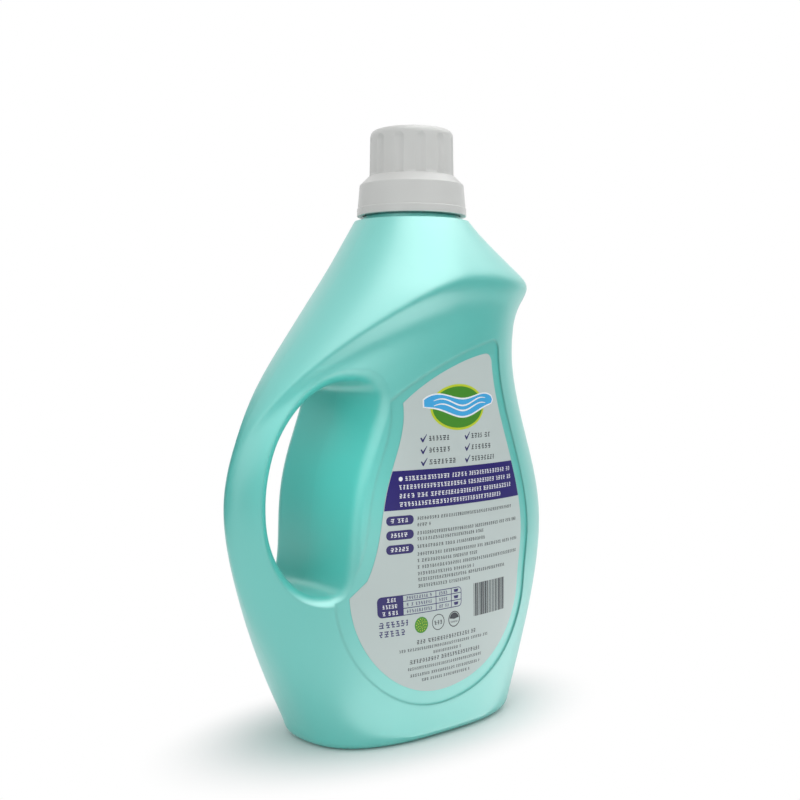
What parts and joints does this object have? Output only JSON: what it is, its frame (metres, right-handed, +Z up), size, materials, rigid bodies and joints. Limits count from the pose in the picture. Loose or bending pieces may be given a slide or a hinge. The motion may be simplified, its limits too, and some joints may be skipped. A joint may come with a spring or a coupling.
{
  "type": "laundry detergent bottle",
  "caption": "Blow-moulded laundry detergent bottle with a see-through hand grip, a screw-on measuring cap, a drain-back pour spout and a film label on each face.",
  "frame": {"origin": "centre of the bounding box, on the surface that the bottle stands on", "axes": "+Z up, +X towards the pouring side, -X towards the handle, -Y out of the back label's face"},
  "size_m": [0.2157, 0.0943, 0.3273],
  "materials": {
    "teal_bottle_plastic": "satin blow-moulded polyethylene",
    "grey_cap_plastic": "satin injection-moulded polypropylene",
    "label_film": "satin printed film",
    "white_spout_plastic": "satin moulded polyethylene",
    "liner_foam": "smooth foamed polyethylene"
  },
  "bodies": {
    "bottle_body": {"bottle": "teal_bottle_plastic", "pour_spout": "white_spout_plastic", "back_label": "label_film", "front_label": "label_film"},
    "liner_body": {"cap_liner": "liner_foam"},
    "cap_body": {"cap": "grey_cap_plastic"}
  },
  "joints": [
    {"name": "cap_lift", "type": "slide", "parent": "bottle_body", "child": "liner_body", "axis": [0, 0, 1], "range_m": [0, 0.01]},
    {"name": "cap_turn", "type": "hinge", "parent": "liner_body", "child": "cap_body", "pos_m": [0.0165, 0, 0.29], "axis": [0, 0, 1], "range_deg": [0, 600]}
  ],
  "couplings": [
    {"joint": "cap_turn", "follows": "cap_lift", "rad_per_m": 1047.1}
  ]
}
